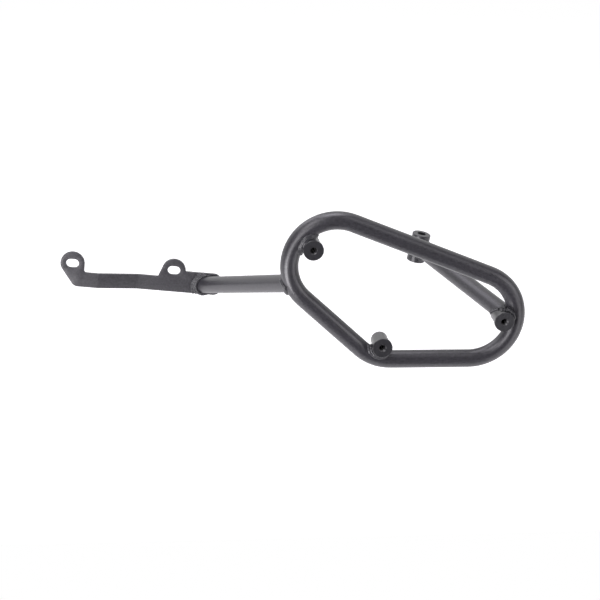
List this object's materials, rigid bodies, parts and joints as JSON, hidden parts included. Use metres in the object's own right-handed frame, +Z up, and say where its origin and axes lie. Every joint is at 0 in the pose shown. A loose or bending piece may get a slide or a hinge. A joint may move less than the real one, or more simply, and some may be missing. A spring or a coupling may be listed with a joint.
{
  "type": "pannier frame",
  "caption": "Welded tubular side frame for a motorcycle pannier: a closed bent-tube loop with threaded bosses, an arm to a joggled slotted bracket and a brace to an angled sleeve.",
  "frame": {"origin": "where the axis of the lower boss's threaded hole crosses the middle plane of the loop tube, 16 mm behind the boss mouths", "axes": "+X rearward along the loop's bottom run, +Y inboard from the loop towards the bracket and the motorcycle, +Z up"},
  "size_m": [0.4978, 0.1776, 0.1713],
  "materials": {
    "tube_coat": "satin black powder coat on steel tube",
    "plate_coat": "satin black powder coat on folded steel plate",
    "boss_coat": "satin black powder coat on turned steel",
    "sleeve_coat": "satin black powder coat on a turned steel sleeve",
    "weld_coat": "satin black powder coat over a weld bead"
  },
  "bodies": {
    "root": {"loop_tube": "tube_coat", "arm_tube": "tube_coat", "brace_tube": "tube_coat", "bracket_plate": "plate_coat", "boss_front": "boss_coat", "boss_lower": "boss_coat", "boss_rear": "boss_coat", "sleeve": "sleeve_coat", "weld_boss_front": "weld_coat", "weld_boss_lower": "weld_coat", "weld_boss_rear": "weld_coat", "weld_arm_loop": "weld_coat", "weld_arm_bracket": "weld_coat", "weld_brace_foot": "weld_coat", "weld_brace_sleeve": "weld_coat"}
  },
  "joints": []
}
